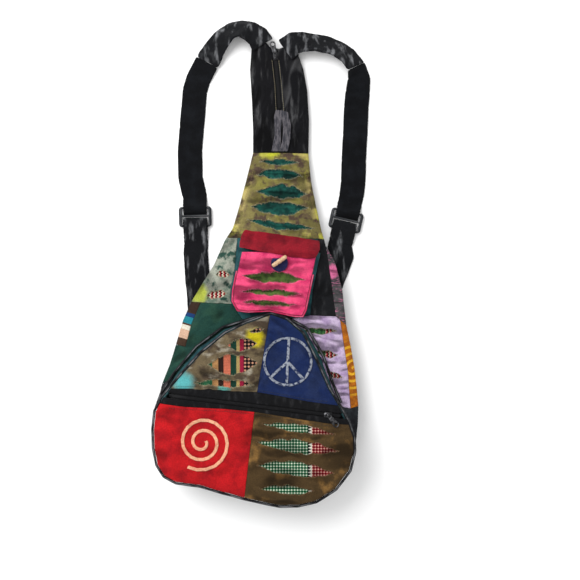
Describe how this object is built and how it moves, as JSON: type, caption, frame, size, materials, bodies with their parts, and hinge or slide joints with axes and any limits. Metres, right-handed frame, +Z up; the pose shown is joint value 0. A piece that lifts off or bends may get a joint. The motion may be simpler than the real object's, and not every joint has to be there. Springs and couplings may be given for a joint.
{
  "type": "backpack",
  "caption": "Patchwork cotton backpack lying on its back: zipped neck, zipped front pocket, small flap pocket with a wooden toggle, and two webbing shoulder straps.",
  "frame": {"origin": "on the floor, under the flat of the back panel that the bag lies on", "axes": "+Y along the bag to its neck, +Z up through its depth, out of its front, +X to the right as seen from above"},
  "size_m": [0.3474, 0.778, 0.0848],
  "materials": {
    "stonewashed_cotton": "matte black cotton with pale crease streaks",
    "black_cotton": "matte",
    "black_webbing": "woven",
    "grey_cotton": "matte",
    "yellow_dyed_cotton": "matte, tie-dyed yellow and brown",
    "teal_cotton": "matte",
    "teal_lining": "matte",
    "grey_green_cotton": "matte, dyed",
    "dark_green_cotton": "matte, dyed",
    "blue_cotton": "matte, dyed",
    "red_brown_cotton": "matte, dyed",
    "gathered_cotton": "matte, gathered grey and pink",
    "lavender_cotton": "matte, dyed",
    "orange_cotton": "matte, dyed orange and yellow",
    "weave": "coarse patterned weave",
    "striped_cotton": "matte, striped and dyed",
    "navy_cotton": "matte",
    "red_cotton": "matte",
    "brown_dyed_cotton": "matte, tie-dyed",
    "crimson_cotton": "matte",
    "pink_cotton": "matte",
    "olive_cotton": "matte",
    "pale_stitching": "thick embroidered line",
    "salmon_stitching": "thick embroidered line",
    "zip_nylon": "matte",
    "buckle_plastic": "satin",
    "zip_metal": "satin black",
    "toggle_wood": "smooth, turned"
  },
  "bodies": {
    "bag": {"back_panel": "black_cotton", "neck_back": "stonewashed_cotton", "side_gusset_left": "blue_cotton", "side_gusset_right": "red_brown_cotton", "bottom_gusset": "black_cotton", "neck_front_left": "stonewashed_cotton", "neck_front_right": "stonewashed_cotton", "neck_zip_tape_left": "black_cotton", "neck_zip_tape_right": "black_cotton", "neck_zip_coil": "zip_nylon", "neck_loop": "grey_cotton", "yellow_panel": "yellow_dyed_cotton", "grey_green_panel": "grey_green_cotton", "left_edge_patches": "blue_cotton", "dark_green_panel": "dark_green_cotton", "centre_panel": "black_cotton", "black_panel": "black_cotton", "ruffle_panel": "gathered_cotton", "lavender_panel": "lavender_cotton", "orange_panel": "orange_cotton", "lower_front_panel": "black_cotton", "upper_slit_backing": "teal_lining", "left_slit_backing": "weave", "lavender_slit_backing": "weave", "pocket_gusset": "teal_cotton", "pocket_piping": "black_cotton", "pocket_seam_piping": "black_cotton", "pocket_striped_patch": "striped_cotton", "pocket_navy_patch": "navy_cotton", "pocket_zip_tape_upper": "black_cotton", "pocket_zip_tape_lower": "black_cotton", "pocket_zip_backing_tape": "black_cotton", "pocket_zip_coil": "zip_nylon", "pocket_red_patch": "red_cotton", "pocket_brown_patch": "brown_dyed_cotton", "striped_slit_backing": "weave", "brown_slit_backing": "weave", "peace_sign": "pale_stitching", "spiral": "salmon_stitching", "small_pocket_gusset": "teal_cotton", "small_pocket_front": "pink_cotton", "small_pocket_backing": "olive_cotton", "small_pocket_piping": "black_cotton", "small_pocket_flap": "crimson_cotton", "toggle_disc": "navy_cotton", "toggle_cord": "black_cotton", "strap_top_left": "stonewashed_cotton", "strap_top_right": "stonewashed_cotton", "strap_webbing_left": "black_webbing", "strap_webbing_right": "black_webbing", "buckle_left": "buckle_plastic", "buckle_right": "buckle_plastic", "lower_strap_left": "stonewashed_cotton", "lower_strap_right": "stonewashed_cotton"},
    "neck_slider": {"neck_zip_slider": "zip_metal"},
    "neck_pull": {"neck_zip_pull": "zip_metal"},
    "pocket_slider": {"pocket_zip_slider": "zip_metal"},
    "pocket_pull": {"pocket_zip_pull": "zip_metal"},
    "toggle": {"toggle": "toggle_wood"}
  },
  "joints": [
    {"name": "neck_zip_slide", "type": "slide", "parent": "bag", "child": "neck_slider", "axis": [0.0838, -0.9965, 0], "range_m": [0, 0.072]},
    {"name": "neck_pull_hinge", "type": "hinge", "parent": "neck_slider", "child": "neck_pull", "pos_m": [0.0086, 0.3782, 0.0151], "axis": [0.9703, 0.2419, 0], "range_deg": [0, 150]},
    {"name": "pocket_zip_slide", "type": "slide", "parent": "bag", "child": "pocket_slider", "axis": [-0.9929, 0.1191, 0], "range_m": [0, 0.215]},
    {"name": "pocket_pull_hinge", "type": "hinge", "parent": "pocket_slider", "child": "pocket_pull", "pos_m": [0.091, -0.1935, 0.0821], "axis": [-0.766, -0.6428, 0], "range_deg": [0, 150]},
    {"name": "toggle_turn", "type": "hinge", "parent": "bag", "child": "toggle", "pos_m": [0.0155, 0.045, 0.065], "axis": [0, 0, 1], "range_deg": [-80, 80]}
  ]
}
